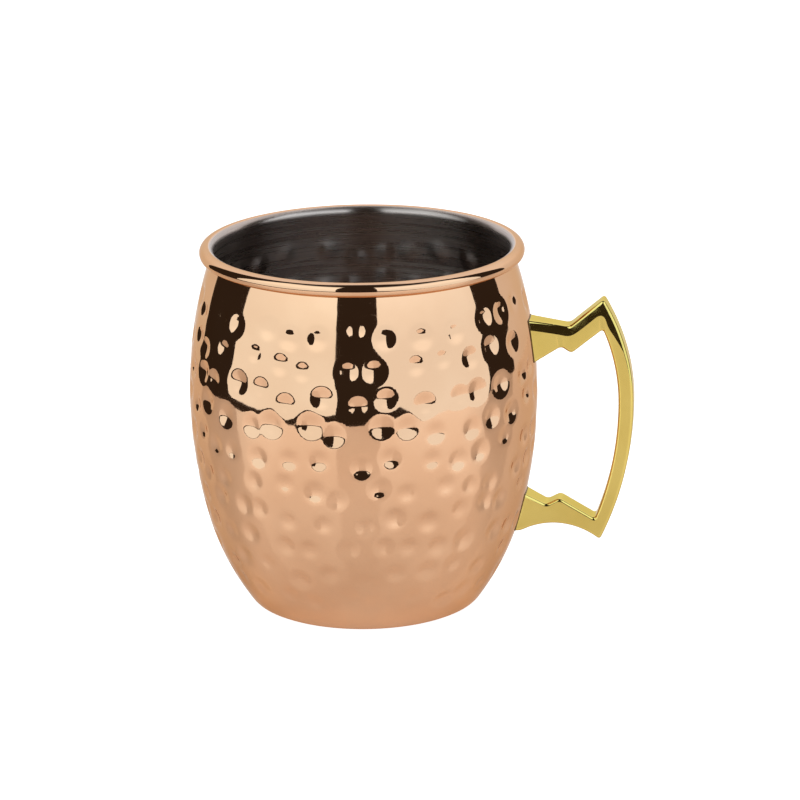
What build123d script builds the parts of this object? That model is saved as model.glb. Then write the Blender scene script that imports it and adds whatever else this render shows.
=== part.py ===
from build123d import *

import os
from math import asin, cos, degrees, radians, sin, sqrt

# A barrel-shaped drinking mug: a copper shell with a rolled rim, a stainless steel lining pressed into it, and a
# cast brass handle brazed to the shell at two feet.
#
# Millimetres, +Z up. The origin is the centre of the ring that the mug stands on, and the handle stands out along
# +X, in the XZ plane. Each sheet-metal piece is one section turned about Z. Every sheet surface is the same line,
# the outside of the copper, moved inwards by its own depth, so the pieces meet face to face. Section points are
# (distance from the axis, height).

# The barrel: the outside of the copper, as arcs that run into each other from the base to the rim
HEIGHT = 100.0
BELLY_RADIUS = 47.5
UPPER_ARC = 121.0  # belly to rim
LOWER_ARC = 132.5  # belly to heel
LOWER_ARC_END = -14.4  # degrees below the horizontal
HEEL_ARC = 72.0
HEEL_ARC_END = -35.65
FOOT_ARC = 2.5  # the corner between the heel and the base

# The sheets
COPPER = 0.35
STEEL = 0.3

# The rim: a hollow bead rolled outwards, with the lining's lip let into its inner side
BEAD_RADIUS = 1.95
LIP_END = 105.0  # degrees round the bead, from the outside over the top
CURL_END = -100.0

# The base: a ring to stand on, with the panel inside it pressed up
RING_INNER_RADIUS = 24.5
PANEL_RADIUS = 22.0
PANEL_RISE = 1.2

# The handle: a bowed grip on two legs, each leg with a kink and a point along it
GRIP_HEIGHT = 57.0  # where the grip stands furthest out
GRIP_OUTER = 73.9
GRIP_INNER = 69.8
OUTER_ARCS = (56.0, 90.0)  # radii above and below GRIP_HEIGHT
INNER_ARCS = (52.0, 90.0)
APEX_HEIGHT = 86.3
TIP_HEIGHT = 18.0
THROAT_TOP_HEIGHT = 77.8
THROAT_BOTTOM_HEIGHT = 24.1
UPPER_ROOT_TOP = (43.0, 80.4)
UPPER_TOP_BOW = (50.0, 79.4)
UPPER_KINK = (56.3, 78.4)
UPPER_SPUR = (57.0, 70.9)
UPPER_SHOULDER = (54.2, 72.7)
UPPER_ROOT_UNDER = (43.0, 65.6)
LOWER_ROOT_TOP = (39.0, 33.7)
LOWER_VALLEY = (50.4, 27.8)
LOWER_PEAK = (53.9, 29.7)
LOWER_UNDER_BOW = (53.5, 22.4)
LOWER_FOOT_UNDER = (43.3, 20.2)
LOWER_ROOT_UNDER = (39.0, 20.3)

WIDTH = 6.2
FOOT_WIDTH = 8.6
FLARE = (55.0, 42.0)  # the legs widen from the first of these distances in to the second
EDGE_ROUND = 0.5
POINT_ROUND = 0.6
BEND_ROUND = 1.2
SHOULDER_ROUND = 2.2
SEAM = 0.25  # thickness of the braze under each foot
SEAM_CLEARANCE = 0.01  # between the braze and the copper

os.makedirs("parts", exist_ok=True)


def on_circle(centre, radius, angle):
    """The point of a circle at an angle in degrees from the horizontal."""
    return (centre[0] + radius * cos(radians(angle)), centre[1] + radius * sin(radians(angle)))


def on_grip(reach, radii, height):
    """The point at a height on a line of the grip, which is two arcs that meet at GRIP_HEIGHT."""
    rise = height - GRIP_HEIGHT
    radius = radii[0] if rise > 0 else radii[1]
    return (reach - radius + sqrt(radius**2 - rise**2), height)


def grip_line(reach, radii, top, bottom):
    """The grip's line from the height of its top to the height of its bottom."""
    sweep_up = degrees(asin((top - GRIP_HEIGHT) / radii[0]))
    sweep_down = degrees(asin((GRIP_HEIGHT - bottom) / radii[1]))
    CenterArc((reach - radii[0], GRIP_HEIGHT), radii[0], 0, sweep_up)
    CenterArc((reach - radii[1], GRIP_HEIGHT), radii[1], -sweep_down, sweep_down)


def wall_line(depth):
    """The sheet surface at a depth inside the outside of the copper, from the neck down and in to the axis."""
    CenterArc(upper_centre, UPPER_ARC - depth, 0, neck_angle)
    CenterArc(lower_centre, LOWER_ARC - depth, LOWER_ARC_END, -LOWER_ARC_END)
    CenterArc(heel_centre, HEEL_ARC - depth, HEEL_ARC_END, LOWER_ARC_END - HEEL_ARC_END)
    CenterArc(foot_centre, FOOT_ARC - depth, -90, 90 + HEEL_ARC_END)
    Polyline(
        (foot_centre[0], depth),
        (RING_INNER_RADIUS, depth),
        (PANEL_RADIUS, PANEL_RISE + depth),
        (0, PANEL_RISE + depth),
    )


def bead_arc(depth, start, end):
    """An arc round the bead, at a depth inside its outside."""
    CenterArc(bead_centre, BEAD_RADIUS - depth, start, end - start)


def bead_step(inner_depth, outer_depth, angle):
    """A straight cut across the bead's sheet."""
    Line(
        on_circle(bead_centre, BEAD_RADIUS - inner_depth, angle),
        on_circle(bead_centre, BEAD_RADIUS - outer_depth, angle),
    )


# Arc centres, each found from the arc next to it
heel_height = FOOT_ARC - (HEEL_ARC - FOOT_ARC) * sin(radians(HEEL_ARC_END))
belly_height = heel_height - (LOWER_ARC - HEEL_ARC) * sin(radians(LOWER_ARC_END))
lower_centre = (BELLY_RADIUS - LOWER_ARC, belly_height)
upper_centre = (BELLY_RADIUS - UPPER_ARC, belly_height)
heel_centre = on_circle(lower_centre, LOWER_ARC - HEEL_ARC, LOWER_ARC_END)
foot_centre = on_circle(heel_centre, HEEL_ARC - FOOT_ARC, HEEL_ARC_END)

# The inside of the lining runs into the bead, so the wall's centre, the bead's and their tangent are in line.
WALL = COPPER + STEEL
bead_rise = HEIGHT - BEAD_RADIUS - belly_height
bead_distance = UPPER_ARC - WALL + BEAD_RADIUS
bead_centre = (upper_centre[0] + sqrt(bead_distance**2 - bead_rise**2), HEIGHT - BEAD_RADIUS)
neck_angle = degrees(asin(bead_rise / bead_distance))
NECK = 180 + neck_angle  # the same line, as an angle round the bead


# Outer shell: copper sheet from the centre of the base to the end of the curl
with BuildPart() as outer_shell:
    with BuildSketch(Plane.XZ):
        with BuildLine():
            wall_line(0)
            bead_arc(WALL, CURL_END, NECK)
            bead_step(WALL, 0, CURL_END)
            bead_arc(0, CURL_END, LIP_END)
            bead_step(STEEL, 0, LIP_END)
            bead_arc(STEEL, LIP_END, NECK)
            wall_line(COPPER)
            Line((0, PANEL_RISE), (0, PANEL_RISE + COPPER))
        make_face()
    revolve(axis=Axis.Z)
outer_shell.part.label = "outer_shell"
export_step(outer_shell.part, "parts/outer_shell.step")


# Inner liner: steel sheet over the whole inside, with its lip flush with the bead
with BuildPart() as inner_liner:
    with BuildSketch(Plane.XZ):
        with BuildLine():
            wall_line(COPPER)
            bead_arc(STEEL, LIP_END, NECK)
            bead_step(STEEL, 0, LIP_END)
            bead_arc(0, LIP_END, NECK)
            wall_line(WALL)
            Line((0, PANEL_RISE + COPPER), (0, PANEL_RISE + WALL))
        make_face()
    revolve(axis=Axis.Z)
inner_liner.part.label = "inner_liner"
export_step(inner_liner.part, "parts/inner_liner.step")


# Two round bodies that the feet and the braze are cut with, each the barrel with a skin of some thickness
def barrel_line(depth):
    """The closed section of the barrel as one solid, up to the neck."""
    wall_line(depth)
    neck = on_circle(upper_centre, UPPER_ARC - depth, neck_angle)
    Polyline(neck, (0, neck[1]), (0, PANEL_RISE + depth))


with BuildPart() as barrel:
    with BuildSketch(Plane.XZ):
        with BuildLine():
            barrel_line(-SEAM_CLEARANCE)
        make_face()
    revolve(axis=Axis.Z)

with BuildPart() as brazed_barrel:
    with BuildSketch(Plane.XZ):
        with BuildLine():
            barrel_line(-SEAM)
        make_face()
    revolve(axis=Axis.Z)


# Handle: the side outline with its corners rounded, cut to the plan of the legs, with every long edge softened
apex = on_grip(GRIP_OUTER, OUTER_ARCS, APEX_HEIGHT)
tip = on_grip(GRIP_OUTER, OUTER_ARCS, TIP_HEIGHT)
throat_top = on_grip(GRIP_INNER, INNER_ARCS, THROAT_TOP_HEIGHT)
throat_bottom = on_grip(GRIP_INNER, INNER_ARCS, THROAT_BOTTOM_HEIGHT)
corner_rounds = {
    apex: POINT_ROUND,
    tip: POINT_ROUND,
    throat_top: BEND_ROUND,
    throat_bottom: BEND_ROUND,
    UPPER_KINK: BEND_ROUND,
    UPPER_SPUR: POINT_ROUND,
    UPPER_SHOULDER: SHOULDER_ROUND,
    LOWER_VALLEY: BEND_ROUND,
    LOWER_PEAK: POINT_ROUND,
    LOWER_FOOT_UNDER: SHOULDER_ROUND,
}

with BuildPart() as handle_blank:
    with BuildSketch(Plane.XZ) as side:
        with BuildLine():
            ThreePointArc(UPPER_ROOT_TOP, UPPER_TOP_BOW, UPPER_KINK)
            Line(UPPER_KINK, apex)
            grip_line(GRIP_OUTER, OUTER_ARCS, APEX_HEIGHT, TIP_HEIGHT)
            ThreePointArc(tip, LOWER_UNDER_BOW, LOWER_FOOT_UNDER)
            Polyline(LOWER_FOOT_UNDER, LOWER_ROOT_UNDER, LOWER_ROOT_TOP, LOWER_VALLEY, LOWER_PEAK, throat_bottom)
            grip_line(GRIP_INNER, INNER_ARCS, THROAT_TOP_HEIGHT, THROAT_BOTTOM_HEIGHT)
            Polyline(throat_top, UPPER_SPUR, UPPER_SHOULDER, UPPER_ROOT_UNDER, UPPER_ROOT_TOP)
        make_face()
        for corner, radius in corner_rounds.items():
            fillet(side.vertices().sort_by_distance(corner)[0], radius)
    extrude(amount=FOOT_WIDTH, both=True)
    with BuildSketch(Plane.XY):
        with BuildLine():
            reach = Line((HEIGHT, 0), (HEIGHT, WIDTH / 2))
            leg = Line(reach @ 1, (FLARE[0], WIDTH / 2))
            flare = TangentArc(leg @ 1, (FLARE[1], FOOT_WIDTH / 2), tangent=leg % 1)
            Polyline(flare @ 1, (0, FOOT_WIDTH / 2), (0, 0))
            mirror(about=Plane.XZ)
        make_face()
    extrude(amount=HEIGHT, mode=Mode.INTERSECT)
    long_edges = handle_blank.edges().filter_by(Axis.Y, reverse=True).filter_by(Axis.Z, reverse=True)
    fillet(long_edges, EDGE_ROUND)

with BuildPart() as handle:
    add(handle_blank.part)
    add(brazed_barrel.part, mode=Mode.SUBTRACT)
handle.part.label = "handle"
export_step(handle.part, "parts/handle.step")


# Braze: what fills the narrow gap between the barrel and each foot
with BuildPart() as braze:
    add(handle_blank.part)
    add(brazed_barrel.part, mode=Mode.INTERSECT)
    add(barrel.part, mode=Mode.SUBTRACT)
seams = braze.solids().sort_by(Axis.Z)

with BuildPart() as lower_braze:
    add(seams[0])
lower_braze.part.label = "lower_braze"
export_step(lower_braze.part, "parts/lower_braze.step")

with BuildPart() as upper_braze:
    add(seams[-1])
upper_braze.part.label = "upper_braze"
export_step(upper_braze.part, "parts/upper_braze.step")
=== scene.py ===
from math import asin, cos, degrees, hypot, pi, radians, sin, sqrt, tan

import bpy
import numpy as np
from mathutils import Matrix, Vector


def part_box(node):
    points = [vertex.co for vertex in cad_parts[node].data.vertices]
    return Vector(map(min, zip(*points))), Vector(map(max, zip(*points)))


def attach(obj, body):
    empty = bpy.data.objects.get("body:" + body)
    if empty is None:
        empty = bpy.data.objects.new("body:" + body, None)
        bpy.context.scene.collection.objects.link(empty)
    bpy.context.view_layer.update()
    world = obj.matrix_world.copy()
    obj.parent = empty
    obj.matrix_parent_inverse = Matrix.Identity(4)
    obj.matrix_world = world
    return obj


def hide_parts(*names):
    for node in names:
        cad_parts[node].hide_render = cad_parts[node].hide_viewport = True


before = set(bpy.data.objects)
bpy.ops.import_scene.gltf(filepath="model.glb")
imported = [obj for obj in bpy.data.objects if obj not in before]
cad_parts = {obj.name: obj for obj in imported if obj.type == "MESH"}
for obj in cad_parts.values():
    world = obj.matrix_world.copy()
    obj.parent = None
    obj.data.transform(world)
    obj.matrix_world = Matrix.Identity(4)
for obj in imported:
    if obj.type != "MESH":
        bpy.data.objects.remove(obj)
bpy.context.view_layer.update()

MM = 0.001
SEED = 28
random = np.random.default_rng(SEED)

# ---------------------------------------------------------------- driving dimensions, millimetres and degrees
# The barrel's section, as in the CAD model: arcs from the base to the rim, each sheet at its own depth.
UPPER_ARC, LOWER_ARC, HEEL_ARC, FOOT_ARC = 121.0, 132.5, 72.0, 2.5
LOWER_ARC_END, HEEL_ARC_END = -14.4, -35.65
COPPER, STEEL = 0.35, 0.3
WALL = COPPER + STEEL
BEAD_RADIUS, LIP_END, CURL_END = 1.95, 105.0, -100.0
RING_INNER_RADIUS, PANEL_RADIUS, PANEL_RISE = 24.5, 22.0, 1.2

# The handle's outline in the XZ plane, as in the CAD model. Its grip is two arcs, above and below its
# fullest place.
GRIP_HEIGHT, GRIP_OUTER, GRIP_INNER = 57.0, 73.9, 69.8
OUTER_ARCS, INNER_ARCS = (56.0, 90.0), (52.0, 90.0)
APEX_HEIGHT, TIP_HEIGHT = 86.3, 18.0
THROAT_TOP_HEIGHT, THROAT_BOTTOM_HEIGHT = 77.8, 24.1
UPPER_ROOT_TOP, UPPER_TOP_BOW, UPPER_KINK = (43.0, 80.4), (50.0, 79.4), (56.3, 78.4)
UPPER_SPUR, UPPER_SHOULDER, UPPER_ROOT_UNDER = (57.0, 70.9), (54.2, 72.7), (43.0, 65.6)
LOWER_ROOT_TOP, LOWER_VALLEY, LOWER_PEAK = (39.0, 33.7), (50.4, 27.8), (53.9, 29.7)
LOWER_UNDER_BOW, LOWER_FOOT_UNDER, LOWER_ROOT_UNDER = (53.5, 22.4), (43.3, 20.2), (39.0, 20.3)
HALF_WIDTH, FOOT_HALF_WIDTH = 3.1, 4.3

# The legs widen between these distances from the axis.
FLARE_START, FLARE_END = 55.0, 42.0

# The handle's finish: the lengths over which its corners and its slants are averaged, the round of its edges,
# and the facet along its upper edge, which fades out between two distances below the apex.
CORNER_BLEND, SPREAD_BLEND = 2.0, 5.0
EDGE_ROUND, EDGE_LAND = 0.75, 0.1
EDGE_TURNS = (0, 20, 40, 60, 80)
FACET_WIDTH, FACET_TILT = 2.6, 5.5
FACET_FADE = (4.0, 20.0)
FACET_BLEND = 3.0

# The gap between the barrel and the handle, which the braze fills.
SEAM = 0.26

shell_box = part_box("outer_shell")
HEIGHT = shell_box[1][2] / MM
BELLY_RADIUS = shell_box[1][1] / MM

# The view: the camera's direction from the mug.
VIEW_AZIMUTH, VIEW_ELEVATION, VIEW_ROLL = 7.0, 17.05, -0.58
VIEW_DISTANCE = 1000.0
VIEW_TARGET = (9.8, 1.2, 55.3)
LENS, SENSOR = 164.4, 36.0


def on_circle(centre, radius, angle):
    return (centre[0] + radius * cos(radians(angle)), centre[1] + radius * sin(radians(angle)))


heel_height = FOOT_ARC - (HEEL_ARC - FOOT_ARC) * sin(radians(HEEL_ARC_END))
belly_height = heel_height - (LOWER_ARC - HEEL_ARC) * sin(radians(LOWER_ARC_END))
lower_centre = (BELLY_RADIUS - LOWER_ARC, belly_height)
upper_centre = (BELLY_RADIUS - UPPER_ARC, belly_height)
heel_centre = on_circle(lower_centre, LOWER_ARC - HEEL_ARC, LOWER_ARC_END)
foot_centre = on_circle(heel_centre, HEEL_ARC - FOOT_ARC, HEEL_ARC_END)
bead_rise = HEIGHT - BEAD_RADIUS - belly_height
bead_distance = UPPER_ARC - WALL + BEAD_RADIUS
bead_centre = (upper_centre[0] + sqrt(bead_distance**2 - bead_rise**2), HEIGHT - BEAD_RADIUS)
neck_angle = degrees(asin(bead_rise / bead_distance))
NECK = 180 + neck_angle


# ---------------------------------------------------------------- sections
# A section is an array of rows: radius, height, outward direction (2), depth below the outside.
def arc(centre, radius, start, end, step, depth=np.nan):
    count = max(2, round(abs(radians(end - start)) * radius / step))
    angles = np.radians(np.linspace(start, end, count + 1))
    out = np.stack([np.cos(angles), np.sin(angles)], 1)
    return np.column_stack([np.array(centre) + radius * out, out, np.full(len(out), depth)])


def wall_section(depth, step):
    """The barrel's surface at a depth, from the base corner up to the neck."""
    return np.vstack([
        arc(foot_centre, FOOT_ARC - depth, -90, HEEL_ARC_END, step, depth),
        arc(heel_centre, HEEL_ARC - depth, HEEL_ARC_END, LOWER_ARC_END, step, depth)[1:],
        arc(lower_centre, LOWER_ARC - depth, LOWER_ARC_END, 0, step, depth)[1:],
        arc(upper_centre, UPPER_ARC - depth, 0, neck_angle, step, depth)[1:],
    ])


def base_section(depth, step):
    """The base at a depth, from the axis out to its ring."""
    corners = [(0, PANEL_RISE), (PANEL_RADIUS, PANEL_RISE), (RING_INNER_RADIUS, 0), (foot_centre[0], 0)]
    rows = []
    for (r0, z0), (r1, z1) in zip(corners, corners[1:]):
        count = max(2, round(hypot(r1 - r0, z1 - z0) / step))
        for share in np.linspace(0, 1, count, endpoint=False):
            rows.append((r0 + (r1 - r0) * share, z0 + (z1 - z0) * share + depth, 0, -1, np.nan))
    return np.array(rows)


def bead_section(depth, start, end, step):
    return arc(bead_centre, BEAD_RADIUS - depth, start, end, step)


# ---------------------------------------------------------------- hammer marks
# Round marks in evenly spaced rows. Each row starts half a step on from the row below, and every mark strays
# a little from its place and varies in size and depth.
ROW_COUNT, LOWEST_ROW, HIGHEST_ROW = 10, 10.0, 86.0
MARK_SPACING, MARK_RADIUS = 8.9, 3.75
SIDE_STRAY, HEIGHT_STRAY = 0.24, 1.9
SIZE_RANGE, DEPTH_RANGE = (0.86, 1.08), (0.85, 1.02)
MARK_CURVATURE = 0.215
# Marks grow shallower towards the foot, between these heights, down to this share of the usual depth.
FOOT_FADE, FOOT_MARK_SHARE = (8, 34), 0.6


def barrel_radius(height):
    """The outside radius at a height between the base corner and the neck."""
    if height >= belly_height:
        return upper_centre[0] + sqrt(UPPER_ARC**2 - (height - belly_height) ** 2)
    if height >= lower_centre[1] + LOWER_ARC * sin(radians(LOWER_ARC_END)):
        return lower_centre[0] + sqrt(LOWER_ARC**2 - (height - lower_centre[1]) ** 2)
    return heel_centre[0] + sqrt(HEEL_ARC**2 - (height - heel_centre[1]) ** 2)


def under_a_foot(x, y, height, size):
    """Whether a mark would reach under one of the handle's feet."""
    if x < 0 or abs(y) > FOOT_HALF_WIDTH + size:
        return False
    feet = ((LOWER_ROOT_UNDER[1], LOWER_ROOT_TOP[1]), (UPPER_ROOT_UNDER[1], UPPER_ROOT_TOP[1]))
    return any(low - size < height < high + size for low, high in feet)


def mark_places():
    """The angle round the mug and the height of every mark."""
    for row, height in enumerate(np.linspace(LOWEST_ROW, HIGHEST_ROW, ROW_COUNT)):
        count = round(radians(360) * barrel_radius(height) / MARK_SPACING)
        for i in range(count):
            step = i + 0.5 * (row % 2) + random.uniform(-SIDE_STRAY, SIDE_STRAY)
            yield 360 * step / count, height + random.uniform(-HEIGHT_STRAY, HEIGHT_STRAY)


def hammer_marks():
    """Every mark as x, y, z, radius and depth."""
    marks = []
    for angle, height in mark_places():
        radius = barrel_radius(height)
        size = MARK_RADIUS * random.uniform(*SIZE_RANGE)
        share = np.interp(height, FOOT_FADE, (FOOT_MARK_SHARE, 1)) * random.uniform(*DEPTH_RANGE)
        depth = MARK_CURVATURE * share * size**2 / 4
        mark = (radius * sin(radians(angle)), -radius * cos(radians(angle)), height, size, depth)
        if not under_a_foot(*mark[:4]):
            marks.append(mark)
    return np.array(marks)


MARKS = hammer_marks()


def mark_depth(points):
    """How far the hammering has pushed the surface in, at each point."""
    total = np.zeros(len(points))
    for x, y, z, size, depth in MARKS:
        near = np.flatnonzero(np.abs(points[:, 2] - z) < size)
        share = np.sum((points[near] - (x, y, z)) ** 2, 1) / size**2
        total[near] += depth * np.clip(1 - share, 0, 1) ** 2
    return total


# ---------------------------------------------------------------- tools
def direction(azimuth):
    """The horizontal direction at an angle from the camera's. Positive is to the camera's right."""
    turn = radians(VIEW_AZIMUTH + azimuth)
    return Vector((sin(turn), -cos(turn), 0))


class Nodes:
    """Short forms for building a node tree. An input is another node's socket or a number."""

    def __init__(self, tree):
        self.tree = tree

    def set(self, socket, value):
        if isinstance(value, bpy.types.NodeSocket):
            self.tree.links.new(value, socket)
        else:
            socket.default_value = value

    def add(self, kind, *values):
        node = self.tree.nodes.new(kind)
        for socket, value in zip(node.inputs, values):
            self.set(socket, value)
        return node

    def math(self, operation, *values):
        node = self.tree.nodes.new("ShaderNodeMath")
        node.operation = operation
        for socket, value in zip(node.inputs, values):
            self.set(socket, value)
        return node.outputs[0]

    def step(self, value, start, end, low=0.0, high=1.0):
        """Goes smoothly from low to high as the value goes from start to end."""
        node = self.tree.nodes.new("ShaderNodeMapRange")
        node.interpolation_type = "SMOOTHSTEP"
        names = ("Value", "From Min", "From Max", "To Min", "To Max")
        for name, number in zip(names, (value, start, end, low, high)):
            self.set(node.inputs[name], number)
        return node.outputs[0]

    def mix(self, factor, first, second):
        node = self.tree.nodes.new("ShaderNodeMix")
        node.data_type = "RGBA"
        for socket, value in zip((node.inputs[0], node.inputs[6], node.inputs[7]), (factor, first, second)):
            self.set(socket, value)
        return node.outputs[2]


# ---------------------------------------------------------------- meshes
SHARP_ANGLE = 40


def add_mesh(name, vertices, faces, material):
    mesh = bpy.data.meshes.new(name)
    mesh.from_pydata((np.asarray(vertices) * MM).tolist(), [], faces)
    mesh.validate()
    mesh.update()
    mesh.shade_smooth()
    mesh.set_sharp_from_angle(angle=radians(SHARP_ANGLE))
    piece = bpy.data.objects.new(name, mesh)
    bpy.context.scene.collection.objects.link(piece)
    mesh.materials.append(material)
    return piece


def turned(name, section, columns, material):
    """Turns a section about Z. It starts and ends on the axis. Rows with a depth are hammered."""
    turn = np.linspace(0, 2 * pi, columns, endpoint=False)
    around = np.stack([np.sin(turn), -np.cos(turn)], 1)
    rings = section[1:-1]
    points = np.empty((len(rings), columns, 3))
    points[..., :2] = rings[:, 0, None, None] * around
    points[..., 2] = rings[:, 1, None]
    out = np.empty_like(points)
    out[..., :2] = rings[:, 2, None, None] * around
    out[..., 2] = rings[:, 3, None]
    hammered = ~np.isnan(rings[:, 4])
    outside = points[hammered] + out[hammered] * rings[hammered, 4, None, None]
    push = mark_depth(outside.reshape(-1, 3)).reshape(outside.shape[:2])
    points[hammered] -= out[hammered] * push[..., None]
    vertices = points.reshape(-1, 3).tolist()
    faces = []
    for i in range(len(rings) - 1):
        a, b = i * columns, (i + 1) * columns
        for j in range(columns):
            k = (j + 1) % columns
            faces.append((a + j, a + k, b + k, b + j))
    first, last = len(vertices), len(vertices) + 1
    vertices += [(0, 0, section[0, 1]), (0, 0, section[-1, 1])]
    end = (len(rings) - 1) * columns
    for j in range(columns):
        k = (j + 1) % columns
        faces.append((first, k, j))
        faces.append((end + j, end + k, last))
    return add_mesh(name, vertices, faces, material)


# ---------------------------------------------------------------- materials
COPPER_COLOUR = (0.72, 0.43, 0.26)


def metal(name, colour, roughness):
    material = bpy.data.materials.new(name)
    material.use_nodes = True
    shader = material.node_tree.nodes["Principled BSDF"]
    shader.inputs["Base Color"].default_value = (*colour, 1)
    shader.inputs["Metallic"].default_value = 1.0
    shader.inputs["Roughness"].default_value = roughness
    shade = Nodes(material.node_tree)
    place = shade.add("ShaderNodeTexCoord").outputs["Object"]
    return material, shader, shade, place


def noise(shade, place, scale, detail=2.0, stretch=(1, 1, 1)):
    """Noise with a scale in features per metre, about 0.5 on average."""
    mapping = shade.add("ShaderNodeMapping", place)
    mapping.inputs["Scale"].default_value = stretch
    node = shade.add("ShaderNodeTexNoise", mapping.outputs[0])
    node.inputs["Scale"].default_value = scale
    node.inputs["Detail"].default_value = detail
    return node.outputs["Fac"]


def bump(shade, shader, height, distance, strength=1.0):
    node = shade.add("ShaderNodeBump")
    node.inputs["Strength"].default_value = strength
    node.inputs["Distance"].default_value = distance
    shade.set(node.inputs["Height"], height)
    shade.set(shader.inputs["Normal"], node.outputs[0])


def rim_angle(shade, place):
    """The angle round the rim's bead, in degrees: 90 on top and 0 on the inner side."""
    parts = shade.add("ShaderNodeSeparateXYZ", place)
    squares = [shade.math("POWER", parts.outputs[axis], 2) for axis in (0, 1)]
    across = shade.math("SQRT", shade.math("ADD", *squares))
    rise = shade.math("SUBTRACT", parts.outputs[2], bead_centre[1] * MM)
    inwards = shade.math("SUBTRACT", bead_centre[0] * MM, across)
    return shade.math("DEGREES", shade.math("ARCTAN2", rise, inwards))


def copper_material():
    """Polished: faint warmer patches, light hairline scratches, and a duller worn foot and rim."""
    material, shader, shade, place = metal("copper", COPPER_COLOUR, 0.05)
    shader.inputs["Specular Tint"].default_value = (0.85, 0.68, 0.52, 1)
    patches = shade.step(noise(shade, place, 45, 3), 0.35, 0.65)
    colour = shade.mix(patches, (0.70, 0.412, 0.246, 1), (0.735, 0.445, 0.272, 1))
    height = shade.add("ShaderNodeSeparateXYZ", place).outputs[2]
    worn_foot = shade.step(height, 0.0, 0.0035, 1, 0)
    worn_rim = shade.step(height, (HEIGHT - 0.7) * MM, HEIGHT * MM)
    worn = shade.math("MULTIPLY", shade.math("MAXIMUM", worn_foot, worn_rim), noise(shade, place, 500, 4))
    shade.set(shader.inputs["Base Color"], shade.mix(worn, colour, (0.66, 0.44, 0.31, 1)))
    scratches = shade.step(noise(shade, place, 900, 2, (0.12, 0.12, 1)), 0.62, 0.72, 0, 0.035)
    smears = shade.step(noise(shade, place, 120, 3), 0.4, 0.75, 0.035, 0.06)
    dull = shade.math("ADD", shade.math("ADD", smears, scratches), shade.math("MULTIPLY", worn, 0.12))
    shade.set(shader.inputs["Roughness"], dull)
    bump(shade, shader, noise(shade, place, 260, 1.5), 0.000012)
    return material


def steel_material():
    """Brushed round the mug. The copper plating thins out over its first part inside the rim."""
    material, shader, shade, place = metal("steel", (0.465, 0.385, 0.343), 0.3)
    grain = noise(shade, place, 1.0, 3, (60, 60, 4200))
    streaks = noise(shade, place, 1.0, 2, (25, 25, 900))
    bare = shade.mix(shade.step(grain, 0.3, 0.7), (0.42, 0.348, 0.31, 1), (0.51, 0.423, 0.377, 1))
    bare_share = shade.step(rim_angle(shade, place), 56, 77, 1, 0)
    shade.set(shader.inputs["Base Color"], shade.mix(bare_share, (*COPPER_COLOUR, 1), bare))
    brushed = shade.step(streaks, 0.3, 0.7, 0.25, 0.31)
    dulling = shade.step(bare_share, 0, 1, 0.35, 1)
    shade.set(shader.inputs["Roughness"], shade.math("MULTIPLY", brushed, dulling))
    shader.inputs["Anisotropic"].default_value = 0.95
    shader.inputs["Anisotropic Rotation"].default_value = 0.25
    tangent = shade.add("ShaderNodeTangent")
    tangent.direction_type, tangent.axis = "RADIAL", "Z"
    shade.set(shader.inputs["Tangent"], tangent.outputs[0])
    bump(shade, shader, grain, 0.00001)
    return material


def brass_material():
    """Cast and polished: faint variation of colour and gloss, and a very slightly uneven surface."""
    material, shader, shade, place = metal("brass", (0.72, 0.55, 0.155), 0.08)
    shader.inputs["Specular Tint"].default_value = (0.88, 0.78, 0.5, 1)
    tone = shade.step(noise(shade, place, 90, 3), 0.3, 0.7)
    shade.set(shader.inputs["Base Color"], shade.mix(tone, (0.70, 0.53, 0.145, 1), (0.74, 0.575, 0.17, 1)))
    shade.set(shader.inputs["Roughness"], shade.step(noise(shade, place, 350, 4), 0.3, 0.7, 0.05, 0.11))
    bump(shade, shader, noise(shade, place, 300, 2), 0.000008)
    return material


def braze_material():
    """A dull, lumpy line of braze, browned by heat."""
    material, shader, shade, place = metal("braze", (0.2, 0.13, 0.05), 0.4)
    tone = shade.step(noise(shade, place, 600, 4), 0.3, 0.7)
    shade.set(shader.inputs["Base Color"], shade.mix(tone, (0.13, 0.08, 0.035, 1), (0.26, 0.17, 0.065, 1)))
    shade.set(shader.inputs["Roughness"], shade.step(noise(shade, place, 900, 3), 0.3, 0.7, 0.3, 0.5))
    bump(shade, shader, noise(shade, place, 1200, 3), 0.00006)
    return material


copper = copper_material()
steel = steel_material()
brass = brass_material()
braze = braze_material()

# ---------------------------------------------------------------- the mug
# The distance between points along a section. Hidden and flat stretches have fewer.
RIM, INNER_RIM, INSIDE, FINE, HIDDEN_RIM, COARSE, FLAT = 0.3, 0.6, 1.0, 0.8, 1.2, 2.0, 3.0
SHELL_COLUMNS, LINER_COLUMNS = 374, 320

shell_section = np.vstack([
    base_section(0, FLAT),
    wall_section(0, FINE),
    bead_section(WALL, NECK, CURL_END, HIDDEN_RIM),
    bead_section(0, CURL_END, LIP_END, RIM),
    bead_section(STEEL, LIP_END, NECK, INNER_RIM),
    wall_section(COPPER, COARSE)[::-1],
    base_section(COPPER, FLAT)[::-1],
])
shell = turned("outer_shell_hammered", shell_section, SHELL_COLUMNS, copper)
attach(shell, "root")
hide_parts("outer_shell")

liner_section = np.vstack([
    base_section(COPPER, COARSE),
    wall_section(COPPER, COARSE),
    bead_section(STEEL, NECK, LIP_END, INNER_RIM),
    bead_section(0, LIP_END, NECK, RIM),
    wall_section(WALL, INSIDE)[::-1],
    base_section(WALL, COARSE)[::-1],
])
liner = turned("inner_liner_hammered", liner_section, LINER_COLUMNS, steel)
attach(liner, "root")
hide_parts("inner_liner")


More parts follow.
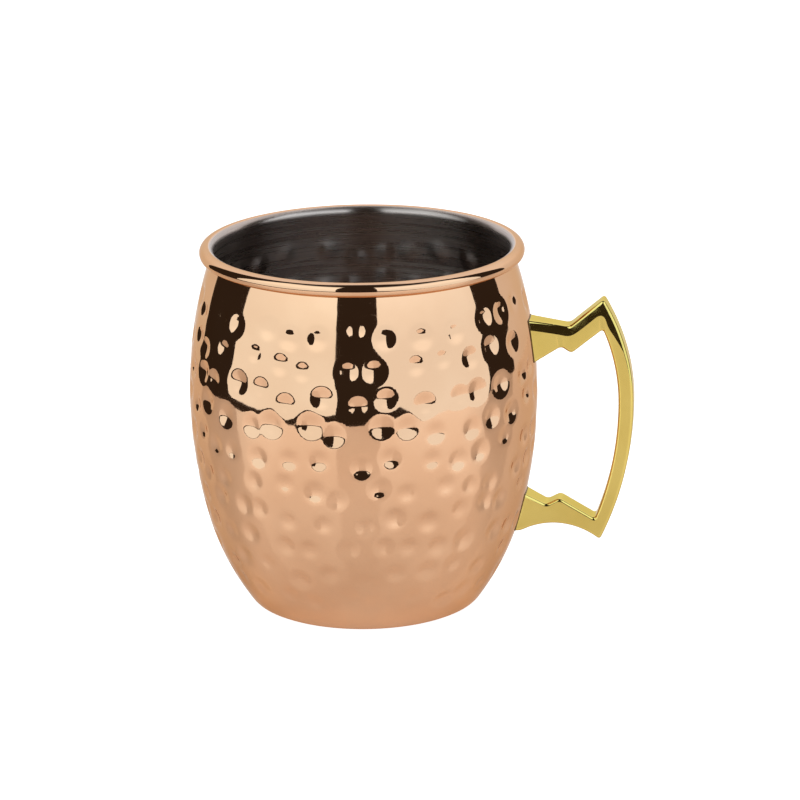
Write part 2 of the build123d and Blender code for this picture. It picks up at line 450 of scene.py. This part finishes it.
# ---------------------------------------------------------------- the handle
def grip_line(reach, radii, start, end, count):
    """Points down a grip arc pair from one height to another."""
    heights = np.linspace(start, end, count + 1)
    radius = np.where(heights > GRIP_HEIGHT, radii[0], radii[1])
    return np.column_stack([reach - radius + np.sqrt(radius**2 - (heights - GRIP_HEIGHT) ** 2), heights])


def bow_line(start, middle, end, count):
    """Points along the arc through three points."""
    matrix = 2 * np.array([np.subtract(middle, start), np.subtract(end, start)])
    squares = [np.dot(p, p) - np.dot(start, start) for p in (middle, end)]
    centre = np.linalg.solve(matrix, squares)
    turns = [np.arctan2(p[1] - centre[1], p[0] - centre[0]) for p in (start, end)]
    turns = np.unwrap(turns)
    angles = np.linspace(turns[0], turns[1], count + 1)
    return centre + hypot(*(start - centre)) * np.column_stack([np.cos(angles), np.sin(angles)])


def straight(corners, counts):
    """Points along straight lines from corner to corner."""
    rows = [np.array(corners[:1])]
    for start, end, count in zip(corners, corners[1:], counts):
        rows.append(start + np.linspace(0, 1, count + 1)[1:, None] * np.subtract(end, start))
    return np.vstack(rows)


def along(line):
    """The distance along a line at each of its points."""
    return np.concatenate([[0], np.cumsum(np.hypot(*np.diff(line, axis=0).T))])


def blended(line, values, window):
    """Values averaged over a window along a line, which rounds off corners."""
    places = along(line)
    steps = np.linspace(-window / 2, window / 2, 21)
    columns = []
    for column in np.atleast_2d(values.T):
        columns.append(np.mean([np.interp(places + step, places, column) for step in steps], 0))
    return np.array(columns).T


def handle_lines():
    """The outer and the inner line of the handle from the upper foot to the lower one, point for point."""
    leg, shoulder, rise, grip, fall, tail, root, foot = 46, 12, 50, 300, 45, 14, 46, 18
    spine = grip_line(GRIP_OUTER, OUTER_ARCS, APEX_HEIGHT, TIP_HEIGHT, grip)
    outer = np.vstack([
        bow_line(UPPER_ROOT_TOP, UPPER_TOP_BOW, UPPER_KINK, leg + shoulder),
        straight([UPPER_KINK, tuple(spine[0])], [rise])[1:],
        spine[1:],
        bow_line(tuple(spine[-1]), LOWER_UNDER_BOW, LOWER_FOOT_UNDER, fall + tail + root - foot)[1:],
        straight([LOWER_FOOT_UNDER, LOWER_ROOT_UNDER], [foot])[1:],
    ])
    throats = grip_line(GRIP_INNER, INNER_ARCS, THROAT_TOP_HEIGHT, THROAT_BOTTOM_HEIGHT, grip)
    inner = np.vstack([
        straight([UPPER_ROOT_UNDER, UPPER_SHOULDER, UPPER_SPUR, tuple(throats[0])], [leg, shoulder, rise]),
        throats[1:],
        straight([tuple(throats[-1]), LOWER_PEAK, LOWER_VALLEY, LOWER_ROOT_TOP], [fall, tail, root])[1:],
    ])
    return [blended(line, line, CORNER_BLEND) for line in (outer, inner)]


def spread(line, chord):
    """How much further a distance from the line is when it's measured along the chord."""
    tangent = np.gradient(line, axis=0)
    tangent /= np.hypot(*tangent.T)[:, None]
    slant = np.abs(tangent[:, 0] * chord[:, 1] - tangent[:, 1] * chord[:, 0])
    return blended(line, 1 / np.maximum(slant, 0.5), SPREAD_BLEND)[:, 0]


def handle_rows(outer, inner):
    """Rows across one side of the handle, from the outer face to the inner one: x, z and half width."""
    chord = inner - outer
    length = np.hypot(*chord.T)
    chord = chord / length[:, None]
    outer_spread, inner_spread = spread(outer, chord), spread(inner, chord)
    apex = np.argmax(outer[:, 1])
    below_apex = along(outer) - along(outer)[apex]
    fade = np.clip((FACET_FADE[1] - below_apex) / (FACET_FADE[1] - FACET_FADE[0]), 0, 1)
    facet = np.maximum(FACET_WIDTH * fade, EDGE_ROUND + EDGE_LAND)
    drop = tan(radians(FACET_TILT)) * (FACET_WIDTH * fade)
    slope = drop / facet
    rows = []

    def add(depth, inset, from_outer):
        """Adds the row at a depth from the outer or the inner line, set in from the full half width."""
        depth = depth + np.zeros(len(outer))
        if from_outer:
            place = outer + chord * (depth * outer_spread)[:, None]
        else:
            place = inner - chord * (depth * inner_spread)[:, None]
        if depth[0] > EDGE_ROUND + 0.03:
            place = place + (blended(place, place, FACET_BLEND) - place) * fade[:, None]
        flare = np.clip((FLARE_START - place[:, 0]) / (FLARE_START - FLARE_END), 0, 1)
        rows.append(np.column_stack([place, HALF_WIDTH + (FOOT_HALF_WIDTH - HALF_WIDTH) * flare**2 - inset]))

    add(0, EDGE_ROUND + EDGE_LAND + drop, True)
    for turn in np.radians(EDGE_TURNS):
        depth = EDGE_ROUND * (1 - cos(turn))
        add(depth, drop - slope * depth + EDGE_ROUND * (1 - sin(turn)), True)
    for depth in (EDGE_ROUND + 0.02, facet - 0.05, facet, facet + 0.05):
        add(depth, np.maximum(drop - slope * depth, 0), True)
    add(EDGE_ROUND + 0.05, 0, False)
    for turn in np.radians(EDGE_TURNS[::-1]):
        add(EDGE_ROUND * (1 - cos(turn)), EDGE_ROUND * (1 - sin(turn)), False)
    add(0, EDGE_ROUND + EDGE_LAND, False)
    return rows


def cut_at_barrel(row):
    """Moves the first points of a row so that it starts on the braze and keeps its number of points."""
    row = np.vstack([row[0] + (row[0] - row[2]) * 20, row])
    gap = np.hypot(row[:, 0], row[:, 1]) - [barrel_radius(z) + SEAM for z in row[:, 2]]
    first = np.flatnonzero(gap > 0)[0]
    share = gap[first] / (gap[first] - gap[first - 1])
    cut = row[first] + (row[first - 1] - row[first]) * share
    kept = np.vstack([cut, row[first:]])
    spacing = np.concatenate([[0], np.cumsum(np.linalg.norm(np.diff(kept, axis=0), axis=1))])
    moved = max(40, first + 20)
    end = np.searchsorted(spacing, spacing[-(len(row) - 1 - moved)])
    places = np.linspace(0, spacing[end], moved)
    start = np.column_stack([np.interp(places, spacing, kept[:, axis]) for axis in range(3)])
    return np.vstack([start, row[moved + 1:]])


def handle_mesh():
    outer, inner = handle_lines()
    rows = handle_rows(outer, inner)
    loops = [np.column_stack([r[:, 0], -r[:, 2], r[:, 1]]) for r in rows]
    loops += [np.column_stack([r[:, 0], r[:, 2], r[:, 1]]) for r in reversed(rows)]
    points = np.stack([cut_at_barrel(cut_at_barrel(loop)[::-1])[::-1] for loop in loops], 1)
    count, around = points.shape[:2]
    faces = []
    for i in range(count - 1):
        for j in range(around):
            k = (j + 1) % around
            faces.append((i * around + j, i * around + k, (i + 1) * around + k, (i + 1) * around + j))
    for j in range(around // 2 - 1):
        mirror = around - 1 - j
        faces.append((j, mirror, mirror - 1, j + 1))
        last = (count - 1) * around
        faces.append((last + j, last + j + 1, last + mirror - 1, last + mirror))
    return add_mesh("handle_cast", points.reshape(-1, 3), faces, brass)


handle = handle_mesh()
# The barrel doesn't mirror the handle.
handle.visible_glossy = False
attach(handle, "root")
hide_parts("handle")

for node in ("upper_braze", "lower_braze"):
    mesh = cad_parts[node].data
    mesh.materials.clear()
    mesh.materials.append(braze)


# ---------------------------------------------------------------- studio
def stage_piece(name, vertices, faces, material):
    mesh = bpy.data.meshes.new(name)
    mesh.from_pydata(vertices, [], faces)
    piece = bpy.data.objects.new(name, mesh)
    bpy.context.scene.collection.objects.link(piece)
    mesh.materials.append(material)
    return piece


# The studio's lights: upright curved screens round the mug, which the camera doesn't see. All angles are in
# degrees, seen from LIGHT_HEIGHT on the mug's axis: left and right edges from the camera's direction, how far
# each leans to the right per degree of elevation, and the bottom and top edges. The bottom edge rises by bend
# for each square degree from its lowest place. The top fades out over soft degrees.
LIGHT_DISTANCE = 0.9
LIGHT_HEIGHT = 0.062
SCREENS = {
    "screen_left": dict(
        left=-92.3, right=-17.5, left_lean=0.33, right_lean=0,
        bottom=-11.4, lowest=-62, bend=0.001, top=56, soft=9,
        colour=(0.80, 0.93, 1.0), strength=1.52,
    ),
    "screen_right": dict(
        left=10.5, right=87.7, left_lean=0, right_lean=-0.22,
        bottom=-12.6, lowest=57, bend=0.0043, top=50, soft=9,
        colour=(0.86, 1.0, 1.10), strength=1.38,
    ),
    "screen_back": dict(
        left=114, right=230, left_lean=-0.25, right_lean=0.3,
        bottom=-15, lowest=172, bend=0, top=77, soft=5,
        colour=(0.97, 1.0, 1.03), strength=0.95,
    ),
}


def lit_cloth(name, colour, strength, top, soft):
    """Gives out light, a little more above the middle, and fades out towards the top edge."""
    material = bpy.data.materials.new(name)
    material.use_nodes = True
    material.node_tree.nodes.clear()
    shade = Nodes(material.node_tree)
    geometry = shade.add("ShaderNodeNewGeometry")
    height = shade.add("ShaderNodeSeparateXYZ", geometry.outputs["Position"]).outputs["Z"]
    rise = shade.math("SUBTRACT", height, LIGHT_HEIGHT)
    elevation = shade.math("DEGREES", shade.math("ARCTAN2", rise, LIGHT_DISTANCE))
    emission = shade.add("ShaderNodeEmission")
    emission.inputs["Color"].default_value = (*colour, 1)
    middle = shade.step(elevation, 4, 28, 1.0, 1.18)
    fade = shade.step(elevation, top - soft, top + soft, strength, 0)
    shade.set(emission.inputs["Strength"], shade.math("MULTIPLY", middle, fade))
    output = shade.add("ShaderNodeOutputMaterial")
    shade.set(output.inputs["Surface"], emission.outputs[0])
    return material


def light_screen(name, left, right, left_lean, right_lean, bottom, lowest, bend, top, soft, colour, strength):
    across, up = 36, 18
    vertices = []
    for share in np.linspace(0, 1, up + 1):
        for place in np.linspace(0, 1, across + 1):
            turn = left + (right - left) * place
            start = bottom + bend * (turn - lowest) ** 2
            elevation = start + (top + soft - start) * share
            turn = (left + left_lean * elevation) * (1 - place) + (right + right_lean * elevation) * place
            point = direction(turn) * LIGHT_DISTANCE
            vertices.append((point.x, point.y, LIGHT_HEIGHT + LIGHT_DISTANCE * tan(radians(elevation))))
    faces = []
    for i in range(up):
        for j in range(across):
            a = i * (across + 1) + j
            faces.append((a, a + 1, a + across + 2, a + across + 1))
    screen = stage_piece(name, vertices, faces, lit_cloth(name, colour, strength, top, soft))
    screen.visible_camera = False


for name, screen in SCREENS.items():
    light_screen(name, **screen)

# The room: white behind the mug for the camera, and dark in the mug's reflections.
DARK = (0.036, 0.028, 0.022)
WHITE = (1.1, 1.1, 1.1)
world = bpy.data.worlds.new("studio")
bpy.context.scene.world = world
world.use_nodes = True
world.node_tree.nodes.clear()
room = Nodes(world.node_tree)
path = room.add("ShaderNodeLightPath")
backdrop = room.mix(path.outputs["Is Camera Ray"], (*DARK, 1), (*WHITE, 1))
background = room.add("ShaderNodeBackground", backdrop)
room.add("ShaderNodeOutputWorld", background.outputs[0])

# The table: the mug's metal reflects its glossy white top, and the camera sees a matt one in the same place.
TABLE_RADIUS = 0.35
FLOOR_DROP = -0.0003
TABLE_MIDDLE = direction(90) * 0.05 - direction(0) * 0.025
# Painted light: how brightly the table glows in front of the mug and behind it.
TABLE_PAINTED_LIGHT = (0.43, 0.22)
FLOOR_HALF = 3


def white_paper(name, colour, glow, gloss):
    material = bpy.data.materials.new(name)
    material.use_nodes = True
    shader = material.node_tree.nodes["Principled BSDF"]
    shader.inputs["Base Color"].default_value = (*colour, 1)
    shader.inputs["Roughness"].default_value = 0.12 if gloss else 1.0
    shader.inputs["Specular IOR Level"].default_value = 0.5 if gloss else 0.0
    # The table's glow is painted light and painted shadow; the floor's is an even brightness.
    shader.inputs["Emission Color"].default_value = (1, 0.95, 0.92, 1) if gloss else (1, 1, 1, 1)
    shader.inputs["Emission Strength"].default_value = glow
    return material


def clear_from_below(material):
    """Lets the mug's underside be seen through the paper."""
    shade = Nodes(material.node_tree)
    paper = material.node_tree.nodes["Principled BSDF"].outputs[0]
    below = shade.add("ShaderNodeNewGeometry").outputs["Backfacing"]
    clear = shade.add("ShaderNodeBsdfTransparent").outputs[0]
    output = material.node_tree.nodes["Material Output"]
    shade.set(output.inputs["Surface"], shade.add("ShaderNodeMixShader", below, paper, clear).outputs[0])


def paint_table_light_and_shadow(material, front, behind):
    """Paints light on the table in front of the mug and painted shadow to its sides and near its foot."""
    shade = Nodes(material.node_tree)
    spot = shade.add("ShaderNodeVectorMath", shade.add("ShaderNodeNewGeometry").outputs["Position"])
    spot.operation = "NORMALIZE"
    facing = shade.add("ShaderNodeVectorMath", spot.outputs[0], direction(0))
    facing.operation = "DOT_PRODUCT"
    # Painted light, strongest in front of the mug and weaker to its sides and behind it.
    glow = shade.step(facing.outputs["Value"], 0.05, 0.5, behind, front)
    distance = shade.add("ShaderNodeVectorMath", shade.add("ShaderNodeNewGeometry").outputs["Position"])
    distance.operation = "LENGTH"
    # Painted shadow: the glow drops near the mug's foot.
    glow = shade.math("MULTIPLY", glow, shade.step(distance.outputs["Value"], 0.06, 0.16, 0.85, 1.0))
    shade.set(material.node_tree.nodes["Principled BSDF"].inputs["Emission Strength"], glow)


ring = [
    (TABLE_MIDDLE.x + TABLE_RADIUS * cos(t), TABLE_MIDDLE.y + TABLE_RADIUS * sin(t), 0)
    for t in np.linspace(0, 2 * pi, 96, endpoint=False)
]
table_paper = white_paper("table", (0.8, 0.69, 0.62), TABLE_PAINTED_LIGHT[0], True)
# The table's glow is painted light, with painted shadow to the mug's sides and near its foot.
paint_table_light_and_shadow(table_paper, *TABLE_PAINTED_LIGHT)
table = stage_piece("table", ring, [tuple(range(len(ring)))], table_paper)
table.visible_camera = False
table.visible_diffuse = False
table.visible_shadow = False
corners = ((-1, -1), (1, -1), (1, 1), (-1, 1))
sweep = [(x * FLOOR_HALF, y * FLOOR_HALF, FLOOR_DROP) for x, y in corners]
floor_paper = white_paper("floor", (0.5, 0.5, 0.5), 0.95, False)
clear_from_below(floor_paper)
floor = stage_piece("floor", sweep, [(0, 1, 2, 3)], floor_paper)
floor.visible_glossy = False
floor.visible_shadow = False

camera_data = bpy.data.cameras.new("camera")
camera_data.lens, camera_data.sensor_width = LENS, SENSOR
camera_data.clip_start, camera_data.clip_end = 0.01, 20
camera = bpy.data.objects.new("camera", camera_data)
aim = direction(0) * cos(radians(VIEW_ELEVATION)) + Vector((0, 0, sin(radians(VIEW_ELEVATION))))
camera.matrix_world = (
    Matrix.Translation(Vector(VIEW_TARGET) * MM + aim * VIEW_DISTANCE * MM)
    @ (-aim).to_track_quat("-Z", "Y").to_matrix().to_4x4()
    @ Matrix.Rotation(radians(VIEW_ROLL), 4, "Z")
)
bpy.context.scene.collection.objects.link(camera)
bpy.context.scene.camera = camera
bpy.context.scene.view_settings.view_transform = "Standard"
